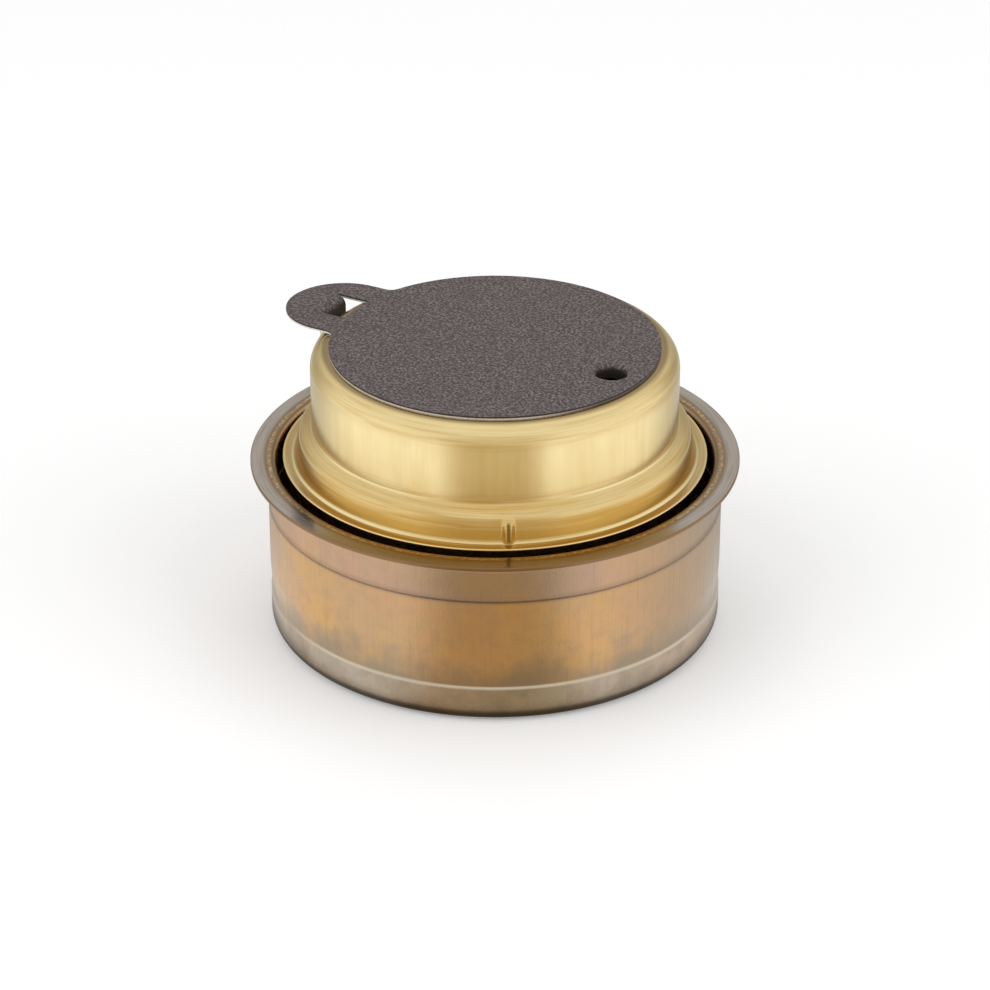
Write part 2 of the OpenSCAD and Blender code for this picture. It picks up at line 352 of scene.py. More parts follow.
def bent_face(corners, radii, depth):
    """One face of a bent sheet.

    The path runs through the corners along the sheet's good side, and the metal lies to its right.
    Each inner corner becomes a circular arc of its own radius on the good side, so at a depth below it
    the arc's radius is larger or smaller by that depth.
    """
    runs = np.diff(corners, axis=0)
    headings = runs / np.linalg.norm(runs, axis=1)[:, None]
    parts = [(corners[0] + right_of(headings[0]) * depth)[None]]
    for corner, radius, ahead, after in zip(
        corners[1:-1], radii, headings[:-1], headings[1:]
    ):
        angle = math.atan2(ahead[0] * after[1] - ahead[1] * after[0], ahead @ after)
        inward = right_of(ahead) * (1 if angle < 0 else -1)
        centre = corner - ahead * radius * math.tan(abs(angle) / 2) + inward * radius
        spoke = radius + (-depth if angle < 0 else depth)
        turn = np.linspace(0, angle, max(3, math.ceil(abs(angle) / ARC_STEP) + 1))
        swung = np.stack(
            [
                inward[0] * np.cos(turn) - inward[1] * np.sin(turn),
                inward[0] * np.sin(turn) + inward[1] * np.cos(turn),
            ],
            axis=1,
        )
        parts.append(centre - swung * spoke)
    parts.append((corners[-1] + right_of(headings[-1]) * depth)[None])
    return np.concatenate(parts)


def sheet_faces(corners, radii, thickness, longest=LONGEST_RUN):
    """Both faces of a bent sheet, point for point, with long runs divided more closely near their ends.

    A point close to each end keeps the shading of a flat run flat up to its cut edge.
    """
    corners = np.array(corners, float)
    front = bent_face(corners, radii, 0.0)
    back = bent_face(corners, radii, thickness)
    runs = np.linalg.norm(np.diff(front, axis=0), axis=1)
    counts = np.maximum(1, np.ceil(runs / longest)).astype(int)
    places = np.concatenate(
        [
            i + 0.5 - 0.5 * np.cos(np.pi * np.arange(n) / n)
            for i, n in enumerate(counts)
        ]
        + [np.array([EDGE_GUARD / runs[0], len(runs) - EDGE_GUARD / runs[-1], len(runs)])]
    )
    places.sort()
    known = np.arange(len(front))
    return tuple(
        np.stack([np.interp(places, known, face[:, k]) for k in (0, 1)], axis=1)
        for face in (front, back)
    )


def cut_edge(front_end, back_end, bulge):
    """A sheet's cut edge: flat from the good side to the back, with small rounded corners."""
    middle, half = (front_end + back_end) / 2, (front_end - back_end) / 2
    out = np.array([half[1], -half[0]])
    out *= bulge / np.linalg.norm(out)
    across = np.array([0.94, 0.76, -0.76, -0.94])[:, None]
    stand = np.array([0.6, 1.0, 1.0, 0.6])[:, None]
    return middle + half * across + out * stand


def revolve(section, angles):
    """A closed section turned about Z: x = r cos a, y = r sin a, with a grid that closes both ways."""
    points = ring_grid(section, angles)
    return points.reshape(-1, 3), grid_faces(len(angles), len(section), True, True)


def fan(pole, ring):
    """Triangles from one point to a closed ring of points."""
    return np.stack([np.full(len(ring), pole), np.roll(ring, -1), ring], axis=1)


def revolve_to_axis(section, angles):
    """A section that starts and ends on the axis, turned about Z, with one point for each pole."""
    inner = section[1:-1]
    rows, columns = len(angles), len(inner)
    points = ring_grid(inner, angles).reshape(-1, 3)
    poles = np.array([[0, 0, section[0, 1]], [0, 0, section[-1, 1]]])
    quads = grid_faces(rows, columns, True, False)
    start = np.arange(rows) * columns
    end = start + columns - 1
    fans = np.concatenate([fan(len(points), start), fan(len(points) + 1, end)[:, ::-1]])
    return np.concatenate([points, poles]), quads, fans


def ring_grid(section, angles):
    """Points of a section at each angle, as an array of angle by section by three."""
    radius = np.broadcast_to(section[:, 0], (len(angles), len(section)))
    height = np.broadcast_to(section[:, 1], (len(angles), len(section)))
    turn = angles[:, None]
    return np.stack([radius * np.cos(turn), radius * np.sin(turn), height], axis=-1)


def grid_faces(rows, columns, wrap_rows, wrap_columns):
    """Four-sided faces of a grid of points, closed round in either direction if asked."""
    i = np.arange(rows if wrap_rows else rows - 1)[:, None]
    j = np.arange(columns if wrap_columns else columns - 1)[None, :]
    i_next, j_next = (i + 1) % rows, (j + 1) % columns
    corners = [
        i * columns + j,
        i_next * columns + j,
        i_next * columns + j_next,
        i * columns + j_next,
    ]
    return np.stack(np.broadcast_arrays(*corners), axis=-1).reshape(-1, 4)


def facing_out(points, quads, fans):
    """The faces, turned round if the closed surface they make holds a negative volume."""
    tris = np.concatenate([quads[:, [0, 1, 2]], quads[:, [0, 2, 3]], fans])
    a, b, c = (points[tris[:, k]] for k in range(3))
    if np.einsum("ij,ij->i", a, np.cross(b, c)).sum() < 0:
        return quads[:, ::-1], fans[:, ::-1]
    return quads, fans


def new_piece(name, points, quads, fans=None, closed=True):
    """A smooth-shaded mesh object at the origin made from arrays of points and faces."""
    fans = np.zeros((0, 3), int) if fans is None else fans
    if closed:
        quads, fans = facing_out(points, quads, fans)
    mesh = bpy.data.meshes.new(name)
    mesh.from_pydata(points.tolist(), [], quads.tolist() + fans.tolist())
    mesh.shade_smooth()
    mesh.update()
    piece = bpy.data.objects.new(name, mesh)
    bpy.context.scene.collection.objects.link(piece)
    return piece


def install(piece, body, node, slot, *materials):
    """Puts materials on a piece, lets it ride on its body and stand for its node."""
    for material in materials:
        piece.data.materials.append(material)
    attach(piece, body)
    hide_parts(node)


def even_angles(count):
    """Angles of a full turn."""
    return np.linspace(0, 2 * np.pi, count, endpoint=False)


def holder_section(s):
    """The holder's section from the axis under the floor, up the outside, over the rim and back inside."""
    rim_r, rim_h = CUP_HIGH.x, CUP_HIGH.z
    t = s.sheet
    wall = rim_r - s.rim
    band = wall - s.band_in
    throat_bend = band - s.throat_in + s.throat_round
    throat = throat_bend - s.throat_round * math.tan(math.pi / 4 + s.throat_lean / 2)
    bulge = t * CUT_BULGE
    under = rim_h - t
    groove_z = s.base_band_h + s.groove_in * GROOVE_SLOPE
    ledge_z = rim_h - s.band_h
    flare = math.hypot(s.band_in, s.band_flare)
    flare_round = FLARE_SHARE * flare / math.tan(math.atan2(s.band_in, s.band_flare) / 2)
    corners = [
        (rim_r - bulge, under),
        (throat, under),
        (band, under - (band - throat) / math.tan(s.throat_lean)),
        (band, ledge_z + s.band_flare),
        (wall, ledge_z),
        (wall, groove_z + s.groove_taper),
        (wall - s.groove_in, groove_z),
        (wall, s.base_band_h),
        (wall, 0),
        (s.pad_radius, 0),
        (s.pad_radius - s.pad_rise, s.pad_rise),
        (0, s.pad_rise),
    ]
    radii = [
        s.throat_round,
        s.band_round,
        flare_round,
        s.band_round,
        s.groove_taper,
        s.groove_round,
        s.band_round,
        s.base_round,
        s.pad_round,
        s.pad_round,
    ]
    front, back = sheet_faces(corners, radii, t)
    return np.concatenate([front[::-1], cut_edge(front[0], back[0], -bulge), back])


def bowl_section(s):
    """The bowl's section from the axis under its floor, up the outside, over the rim and back inside."""
    t = s.sheet
    bulge = t * CUT_BULGE
    low, top, wall = BOWL_LOW.z, BOWL_HIGH.z, BOWL_HIGH.x
    corners = [
        (wall, top - bulge),
        (wall, low),
        (s.bowl_foot, low),
        (s.bowl_foot - s.bowl_rise, low + s.bowl_rise),
        (0, low + s.bowl_rise),
    ]
    radii = [s.bowl_round, s.bowl_bend, s.bowl_bend]
    front, back = sheet_faces(corners, radii, t)
    return np.concatenate([front[::-1], cut_edge(front[0], back[0], -bulge), back])


def cap_surface(s):
    """The cap: its sheet's section turned about Z, with ribs pressed out of the skirt.

    A rib lifts both faces along the skirt's normal by a full cosine of the distance from the
    rib's line, rounded at its upper end and faded out in the fillet at the flange.
    """
    t = s.sheet
    flange_r, top = CAP_HIGH.x, CAP_HIGH.z
    rim_h = CAP_LOW.z + t
    foot = flange_r - s.flange
    skirt_top = foot - s.skirt_flare
    neck = skirt_top - s.step_w
    mouth = neck - s.shoulder_round - s.land
    skirt_z = rim_h + s.skirt_h
    bulge = t * CAP_CUT_BULGE
    corners = [
        (mouth, top - s.mouth_h + bulge),
        (mouth, top),
        (neck, top),
        (neck, skirt_z + s.step_h),
        (skirt_top, skirt_z),
        (foot, rim_h),
        (flange_r - bulge, rim_h),
    ]
    radii = [
        s.mouth_round,
        s.shoulder_round,
        s.neck_fillet,
        s.skirt_round,
        s.flange_fillet,
    ]
    front, back = sheet_faces(corners, radii, t, CAP_RUN)
    flange_edge = cut_edge(front[-1], back[-1], bulge)
    mouth_edge = cut_edge(back[0], front[0], bulge)
    section = np.concatenate([front, flange_edge, back[::-1], mouth_edge])
    ribs = s.rib_turn + even_angles(s.rib_count)
    spread = np.linspace(-1, 1, RIB_COLUMNS) * RIB_MARGIN * s.rib_reach / foot
    angles = np.concatenate([even_angles(SHELL_STEPS), (ribs[:, None] + spread).ravel()])
    angles = np.unique(np.round(angles % (2 * np.pi), 6))
    grid = ring_grid(section, angles)

    tilt = math.atan2(s.skirt_flare, s.skirt_h)
    climb = (front[:, 1] - rim_h) / math.cos(tilt)
    past_end = np.maximum(climb - (s.skirt_h - s.rib_stop), 0)
    on_skirt = (front[:, 0] < foot + RIB_FOOT_REACH) & (front[:, 0] > neck)
    foot_fade = np.clip((front[:, 1] - rim_h) / RIB_FOOT_FADE, 0, 1) * on_skirt
    apart = np.angle(np.exp(1j * (angles[:, None] - ribs[None, :])))
    across = np.abs(apart).min(axis=1) * foot
    reach = np.hypot(across[:, None], past_end[None, :]) / s.rib_reach
    lift = s.rib_out * 0.5 * (1 + np.cos(np.pi * np.clip(reach, 0, 1) ** RIB_FULLNESS)) * foot_fade
    whole = np.zeros(grid.shape[:2])
    whole[:, : len(front)] = lift
    start = len(front) + len(flange_edge)
    whole[:, start : start + len(back)] = lift[:, ::-1]
    turn = angles[:, None]
    grid += whole[..., None] * np.stack(
        [
            np.broadcast_to(np.cos(turn) * math.cos(tilt), whole.shape),
            np.broadcast_to(np.sin(turn) * math.cos(tilt), whole.shape),
            np.full(whole.shape, math.sin(tilt)),
        ],
        axis=-1,
    )
    faces = grid_faces(len(angles), len(section), True, True)
    return grid.reshape(-1, 3), faces


def lid_outline(s, x):
    """Half width of the lid at each x: the tab's round end, its sides, its fillets and the round plate."""
    plate = LID_HIGH.x
    half_tab = s.tab_width / 2
    tab_x = -LID_LOW.x - half_tab
    fillet_x, meet_x = tab_fillet_places(s)
    bow = np.sqrt(np.maximum(half_tab**2 - (x + tab_x) ** 2, 0))
    hollow = np.sqrt(np.maximum(s.tab_fillet**2 - (x + fillet_x) ** 2, 0))
    disc = np.sqrt(np.maximum(plate**2 - x**2, 0))
    fillet = half_tab + s.tab_fillet - hollow
    inner = np.where(x < -meet_x, fillet, disc)
    return np.where(x < -tab_x, bow, np.where(x < -fillet_x, half_tab, inner))


def tab_fillet_places(s):
    """How far out a tab fillet's middle lies, and the place where the fillet meets the round plate."""
    reach = LID_HIGH.x + s.tab_fillet
    fillet_x = math.sqrt(reach**2 - (s.tab_width / 2 + s.tab_fillet) ** 2)
    return fillet_x, fillet_x * LID_HIGH.x / reach


def half_cosine(low, high, count):
    """Places from low to high that lie closest together near low."""
    return low + (high - low) * (1 - np.cos(np.linspace(0, np.pi / 2, count)))


def bent_down(radius, drop, count):
    """Steps outwards and downwards along a quarter circle and then straight down by a drop."""
    bend = np.linspace(0, np.pi / 2, BEND_STEPS)
    straight = np.arange(1, count + 1) / count
    out = np.concatenate([radius * np.sin(bend), np.full(count, radius)])
    down = np.concatenate([radius * (1 - np.cos(bend)), radius + drop * straight])
    return out, down


def patch_of(x, y, z):
    """A grid of points from arrays that spread over each other."""
    return np.stack(np.broadcast_arrays(x, y, z), axis=-1)


def lid_top(s):
    """The lid's top side as patches of a grid.

    Each half of the plate lies between a lower line (the middle, the slot's side or the vent's mouth)
    and the outline, and its points run straight from one to the other at each x. The tongue follows a
    quarter circle down from the slot's end, and the vent's mouth a quarter circle down into its collar.
    """
    top, plate = LID_HIGH.z, LID_HIGH.x
    _, meet_x = tab_fillet_places(s)
    mouth = s.vent_radius + s.vent_round
    slot_y = s.slot_width / 2
    slot_in = -s.slot_end + s.slot_length
    vent_low, vent_high = s.vent_x - mouth, s.vent_x + mouth
    vent_turn = np.linspace(np.pi, 0, VENT_STEPS)
    tab_root = np.linspace(slot_in, -meet_x, ROOT_STEPS)[:-1]
    spans = {
        "tab": half_cosine(LID_LOW.x, -s.slot_end, TAB_STEPS),
        "slot": np.linspace(-s.slot_end, slot_in, SLOT_STEPS),
        "plate": np.concatenate([tab_root, np.linspace(-meet_x, vent_low, PLATE_STEPS)]),
        "vent": s.vent_x + mouth * np.cos(vent_turn),
        "edge": plate - half_cosine(0, plate - vent_high, EDGE_STEPS)[::-1],
    }
    tongue_share = s.tongue_width / s.slot_width
    inner_rows = np.append(np.linspace(0, tongue_share, INNER_ROWS), 1.0)
    outer_rows = np.linspace(0, 1, OUTER_ROWS)
    patches = []
    for name, x in spans.items():
        upper = lid_outline(s, x)
        middle = np.minimum(slot_y, 0.5 * upper)
        lower = mouth * np.sin(vent_turn) if name == "vent" else np.zeros_like(x)
        bands = [(middle, upper, outer_rows)]
        if name != "slot":
            bands.append((lower, middle, inner_rows))
        for low, high, rows in bands:
            y = low[:, None] + (high - low)[:, None] * rows
            patches.append(patch_of(x[:, None], y, top))

    out, down = bent_down(s.tongue_round, top - s.tongue_round - LID_LOW.z, TONGUE_RUNS)
    patches.append(patch_of(out[:, None] - s.slot_end, slot_y * inner_rows[:-1], top - down[:, None]))

    out, down = bent_down(s.vent_round, s.sheet + s.vent_h - s.vent_round, COLLAR_RUNS)
    collar, turn = mouth - out, vent_turn[:, None]
    patches.append(patch_of(s.vent_x + collar * np.cos(turn), collar * np.sin(turn), top - down))
    return patches


def joined_patches(patches):
    """All patches and their mirror images across the middle as one list of points and faces."""
    points, faces, base = [], [], 0
    for patch in patches:
        for side in (1, -1):
            quads = grid_faces(patch.shape[0], patch.shape[1], False, False)
            points.append((patch * np.array([1, side, 1])).reshape(-1, 3))
            faces.append(base + (quads if side == 1 else quads[:, ::-1]))
            base += patch.shape[0] * patch.shape[1]
    return np.concatenate(points), np.concatenate(faces)


def weld(piece, reach):
    """Merges doubled points of a piece and turns its faces the same way, upwards on flat parts."""
    work = bmesh.new()
    work.from_mesh(piece.data)
    bmesh.ops.remove_doubles(work, verts=work.verts, dist=reach)
    bmesh.ops.dissolve_degenerate(work, edges=work.edges, dist=reach)
    bmesh.ops.recalc_face_normals(work, faces=work.faces)
    largest = max(work.faces, key=lambda f: f.calc_area())
    if largest.normal.z < 0:
        bmesh.ops.reverse_faces(work, faces=work.faces)
    work.to_mesh(piece.data)
    work.free()
    piece.data.shade_smooth()
    piece.data.update()


def woven_gauze(s):
    """Plain-woven wires: each runs straight in plan and rises and falls as a cosine over its neighbours."""
    wire = (GAUZE_HIGH.z - GAUZE_LOW.z) / 2
    middle = (GAUZE_HIGH.z + GAUZE_LOW.z) / 2
    radius = GAUZE_HIGH.x - s.mesh_edge / 2
    count = int(radius / s.mesh_pitch)
    index = np.arange(-count, count + 1)
    place = index * s.mesh_pitch
    half = np.sqrt(radius**2 - place**2)
    stretch = half[:, None] * np.linspace(-1, 1, WIRE_STEPS)[None, :]
    wave = 0.5 * wire * np.cos(np.pi * stretch / s.mesh_pitch) * (-1.0) ** index[:, None]
    turn = even_angles(WIRE_SIDES)
    swing = 0.5 * wire * np.cos(turn)
    rise = 0.5 * wire * np.sin(turn)
    run = np.broadcast_to(stretch[..., None], stretch.shape + (WIRE_SIDES,))
    side = place[:, None, None] + np.broadcast_to(swing, run.shape)
    weft = np.stack([run, side, middle + wave[..., None] + rise], axis=-1)
    warp = np.stack([side, run, middle - wave[..., None] + rise], axis=-1)
    tubes = np.concatenate([weft, warp])
    body = grid_faces(WIRE_STEPS, WIRE_SIDES, False, True)
    per_wire = WIRE_STEPS * WIRE_SIDES
    starts = np.arange(len(tubes))[:, None, None] * per_wire
    quads = (starts + body[None]).reshape(-1, 4)
    corner = np.arange(1, WIRE_SIDES - 1)
    first = np.stack([np.zeros_like(corner), corner, corner + 1], axis=1)
    last = per_wire - WIRE_SIDES + first[:, ::-1]
    fans = (starts + np.concatenate([first, last])[None]).reshape(-1, 3)
    return tubes.reshape(-1, 3), quads, fans


def gauze_hem(s):
    """The pressed hem of the gauze: a rounded flat section turned about Z."""
    low, high = GAUZE_LOW.z, GAUZE_HIGH.z
    outer = GAUZE_HIGH.x
    turn = even_angles(HEM_SIDES)
    bow = np.sign(np.cos(turn)) * np.abs(np.cos(turn)) ** HEM_ACROSS
    lift = np.sign(np.sin(turn)) * np.abs(np.sin(turn)) ** HEM_UP
    section = np.stack(
        [
            outer - s.mesh_edge / 2 * (1 - bow),
            (low + high) / 2 + (high - low) / 2 * lift,
        ],
        axis=1,
    )
    return revolve(section, even_angles(HEM_STEPS))


def spring_ring(s):
    """The split ring: a circle carried round an open arc, closing to a half ball at each end."""
    wire = (RING_HIGH.z - RING_LOW.z) / 2
    path_r = BOWL_HIGH.x - s.sheet - wire - RING_CLEARANCE
    middle = (RING_HIGH.z + RING_LOW.z) / 2
    cap_turn = wire / path_r
    dome = np.linspace(0, np.pi / 2, DOME_STEPS)[1:-1]
    start = s.ring_gap / 2 + cap_turn
    straight = np.linspace(start, 2 * np.pi - start, RING_STEPS)
    lead = cap_turn * np.cos(dome)
    angles = np.concatenate([straight[0] - lead, straight, straight[-1] + lead[::-1]])
    swell = np.concatenate([np.sin(dome), np.ones(RING_STEPS), np.sin(dome)[::-1]])
    turn = even_angles(RING_SIDES)
    radius = path_r + wire * swell[:, None] * np.cos(turn)[None, :]
    height = middle + wire * swell[:, None] * np.sin(turn)[None, :]
    grid = np.stack(
        [
            radius * np.cos(angles)[:, None],
            radius * np.sin(angles)[:, None],
            height,
        ],
        axis=-1,
    )
    tip_angles = np.array([straight[0] - cap_turn, straight[-1] + cap_turn])
    tips = np.stack(
        [path_r * np.cos(tip_angles), path_r * np.sin(tip_angles), [middle, middle]],
        axis=1,
    )
    points = grid.reshape(-1, 3)
    first = np.arange(RING_SIDES)
    last = len(points) - RING_SIDES + first
    fans = np.concatenate([fan(len(points), first)[:, ::-1], fan(len(points) + 1, last)])
    quads = grid_faces(len(angles), RING_SIDES, False, True)
    return np.concatenate([points, tips]), quads, fans


def wadding_surface(s):
    """The fibre plug: a round-edged section turned about Z and drawn in by layered waves of x, y and z."""
    low, high, outer = PAD_LOW.z, PAD_HIGH.z, PAD_HIGH.x
    edge = s.pad_edge
    corner = np.linspace(0, np.pi / 2, PAD_CORNER_STEPS)
    flat = np.linspace(0, outer - edge, PAD_FLAT_STEPS)
    wall = np.linspace(low + edge, high - edge, PAD_WALL_STEPS)[1:-1]
    section = np.concatenate(
        [
            np.stack([flat[:-1], np.full(len(flat) - 1, low)], axis=1),
            np.stack(
                [outer - edge + edge * np.sin(corner), low + edge - edge * np.cos(corner)],
                axis=1,
            ),
            np.stack([np.full(len(wall), outer), wall], axis=1),
            np.stack(
                [outer - edge + edge * np.cos(corner), high - edge + edge * np.sin(corner)],
                axis=1,
            ),
            np.stack([flat[-2::-1], np.full(len(flat) - 1, high)], axis=1),
        ]
    )
    points, quads, fans = revolve_to_axis(section, even_angles(PAD_STEPS))
    x, y, z = (points / MM).T
    tufts = (
        np.sin(1.7 * x + 0.6 * y + 0.5)
        * np.sin(1.4 * y - 0.5 * x + 1.1)
        * np.cos(1.1 * z + 0.3 * x)
    )
    lumps = np.sin(0.42 * x + 0.9) * np.cos(0.37 * y - 0.4) * np.cos(0.3 * z)
    draw = LUMP_DRAW * (1 + lumps) + TUFT_DRAW * (1 + tufts)
    centre = np.array([0, 0, (low + high) / 2])
    inward = centre - points
    inward /= np.maximum(np.linalg.norm(inward, axis=1), 1e-6)[:, None]
    return points + inward * draw[:, None], quads, fans


class Shader:
    """A short way to lay out nodes in one tree."""

    def __init__(self, tree):
        self.tree = tree

    def put(self, socket, value):
        """Links another node's output to a socket, or sets a plain value on it."""
        if isinstance(value, bpy.types.NodeSocket):
            self.tree.links.new(value, socket)
        elif socket.type == "RGBA":
            socket.default_value = (*value[:3], 1.0)
        else:
            socket.default_value = value

    def add(self, kind, settings=None, **inputs):
        """A node with its settings and its inputs, which are values or other nodes' outputs."""
        node = self.tree.nodes.new(kind)
        for name, value in (settings or {}).items():
            setattr(node, name, value)
        for name, value in inputs.items():
            key = int(name[1:]) if name[0] == "_" else name.replace("_", " ")
            self.put(node.inputs[key], value)
        return node

    def math(self, operation, first, second=0.0):
        """A Math node's result."""
        return self.add("ShaderNodeMath", {"operation": operation}, _0=first, _1=second).outputs[0]

    def plus(self, first, second):
        """A sum."""
        return self.math("ADD", first, second)

    def times(self, first, second):
        """A product."""
        return self.math("MULTIPLY", first, second)

    def remap(self, value, low, high, to_low=0.0, to_high=1.0):
        """A value taken smoothly from one range to another."""
        node = self.add(
            "ShaderNodeMapRange",
            {"interpolation_type": "SMOOTHSTEP"},
            Value=value,
            From_Min=low,
            From_Max=high,
            To_Min=to_low,
            To_Max=to_high,
        )
        return node.outputs["Result"]

    def blend(self, share, first, second):
        """A mix of two colours."""
        node = self.add("ShaderNodeMix", {"data_type": "RGBA"}, _0=share, _6=first, _7=second)
        return node.outputs[2]

    def group(self, tree, **inputs):
        """A shared node group with its own values."""
        return self.add("ShaderNodeGroup", {"node_tree": tree}, **inputs)


def node_group(name, inputs, outputs, lay_out):
    """A shader node group, laid out the first time that it is asked for.

    Its inputs are numbers with defaults, and lay_out gives what each output puts out.
    """
    if name in bpy.data.node_groups:
        return bpy.data.node_groups[name]
    tree = bpy.data.node_groups.new(name, "ShaderNodeTree")
    for label, default in inputs.items():
        socket = tree.interface.new_socket(label, in_out="INPUT", socket_type="NodeSocketFloat")
        socket.default_value = default
    for label, kind in outputs.items():
        tree.interface.new_socket(label, in_out="OUTPUT", socket_type=kind)
    n = Shader(tree)
    given = n.add("NodeGroupInput").outputs
    out = n.add("NodeGroupOutput").inputs
    for label, value in zip(outputs, lay_out(n, given)):
        n.put(out[label], value)
    return tree


def place_group():
    """Place on a round piece: distance from the axis, height and a direction that has no seam."""

    def lay_out(n, _):
        where = n.add("ShaderNodeTexCoord").outputs["Object"]
        x, y, z = n.add("ShaderNodeSeparateXYZ", Vector=where).outputs
        square = n.plus(n.times(x, x), n.times(y, y))
        radius = n.math("MAXIMUM", n.math("SQRT", square), 0.1 * MM)
        across, away = (n.math("DIVIDE", part, radius) for part in (x, y))
        return radius, z, n.add("ShaderNodeCombineXYZ", X=across, Y=away).outputs[0]

    outputs = {
        "Radius": "NodeSocketFloat",
        "Height": "NodeSocketFloat",
        "Direction": "NodeSocketVector",
    }
    return node_group("Round Place", {}, outputs, lay_out)


def round_noise(n, around, along_section, **settings):
    """Noise on a round piece, with one fineness round the axis and another along the section."""
    place = n.group(place_group()).outputs
    turned = n.add("ShaderNodeVectorMath", {"operation": "SCALE"}, Vector=place["Direction"], Scale=around)
    run = n.math("SUBTRACT", place["Height"], place["Radius"])
    lift = n.add("ShaderNodeCombineXYZ", Z=n.times(run, along_section))
    spot = n.add("ShaderNodeVectorMath", {"operation": "ADD"}, _0=turned.outputs[0], _1=lift.outputs[0])
    return n.add("ShaderNodeTexNoise", Vector=spot.outputs[0], Scale=1.0, **settings).outputs[0]


def streak_group():
    """Drawing marks that run up a wall: noise that is fine round the piece and long along its height."""

    def lay_out(n, given):
        noise = round_noise(n, given["Fineness"], given["Run"], Detail=given["Detail"], Roughness=0.65)
        return (noise,)

    inputs = {"Fineness": 60.0, "Run": 120.0, "Detail": 4.0}
    return node_group("Drawing Streaks", inputs, {"Streaks": "NodeSocketFloat"}, lay_out)


def turning_group():
    """Polishing marks that run round a piece: noise that is long round it and fine along its section."""

    def lay_out(n, given):
        return (round_noise(n, given["Around"], given["Fineness"], Detail=3.0, Roughness=0.6),)

    inputs = {"Fineness": 5000.0, "Around": 2.0}
    return node_group("Turning Marks", inputs, {"Marks": "NodeSocketFloat"}, lay_out)


def cloud_group():
    """Soft patches of tint: layered noise on the object's own coordinates, with a spread to set."""

    def lay_out(n, given):
        where = n.add("ShaderNodeTexCoord").outputs["Object"]
        moved = n.add("ShaderNodeVectorMath", {"operation": "ADD"}, _0=where, _1=given["Offset"])
        noise = n.add(
            "ShaderNodeTexNoise",
            Vector=moved.outputs[0],
            Scale=given["Scale"],
            Detail=3.0,
            Roughness=0.55,
        )
        low = n.math("SUBTRACT", given["Middle"], given["Spread"])
        high = n.plus(given["Middle"], given["Spread"])
        return (n.remap(noise.outputs[0], low, high),)

    inputs = {"Scale": 60.0, "Offset": 0.0, "Middle": 0.5, "Spread": 0.1}
    return node_group("Tint Clouds", inputs, {"Share": "NodeSocketFloat"}, lay_out)


def empty_tree(owner):
    """A helper for the nodes of a material or a world, which starts with none."""
    owner.use_nodes = True
    owner.node_tree.nodes.clear()
    return Shader(owner.node_tree)


def new_material(name):
    """A material with a Principled shader, and a helper for its nodes."""
    material = bpy.data.materials.new(name)
    n = empty_tree(material)
    surface = n.add("ShaderNodeBsdfPrincipled")
    n.add("ShaderNodeOutputMaterial", Surface=surface.outputs[0])
    return material, n, surface


def feed(n, surface, **inputs):
    """Links outputs to the surface's sockets, or sets plain values on them."""
    for name, value in inputs.items():
        n.put(surface.inputs[name.replace("_", " ")], value)


def bumped(n, height, strength, distance):
    """A normal from a height."""
    node = n.add("ShaderNodeBump", Height=height, Strength=strength, Distance=distance)
    return node.outputs[0]


def along(n, way, axis):
    """How far a vector reaches along an axis."""
    return n.add("ShaderNodeVectorMath", {"operation": "DOT_PRODUCT"}, _0=way, _1=axis).outputs["Value"]


def zone(n, value, low, high, soft):
    """1 between two values and 0 outside them, with soft ends."""
    rise = n.remap(value, low - soft, low + soft)
    return n.times(rise, n.remap(value, high - soft, high + soft, 1.0, 0.0))


def shared(n, share, first, second):
    """Two numbers mixed by a share."""
    rest = n.math("SUBTRACT", 1.0, share)
    return n.plus(n.times(rest, first), n.times(share, second))


def rib_lines(n, direction, sizes):
    """1 on the middle lines of the ribs and 0 a little beside them."""
    nearest = None
    for turn in sizes.rib_turn + even_angles(sizes.rib_count):
        facing = along(n, direction, (math.cos(turn), math.sin(turn), 0))
        nearest = facing if nearest is None else n.math("MAXIMUM", nearest, facing)
    return n.remap(nearest, math.cos(RIB_LINE_FADE), math.cos(RIB_LINE))


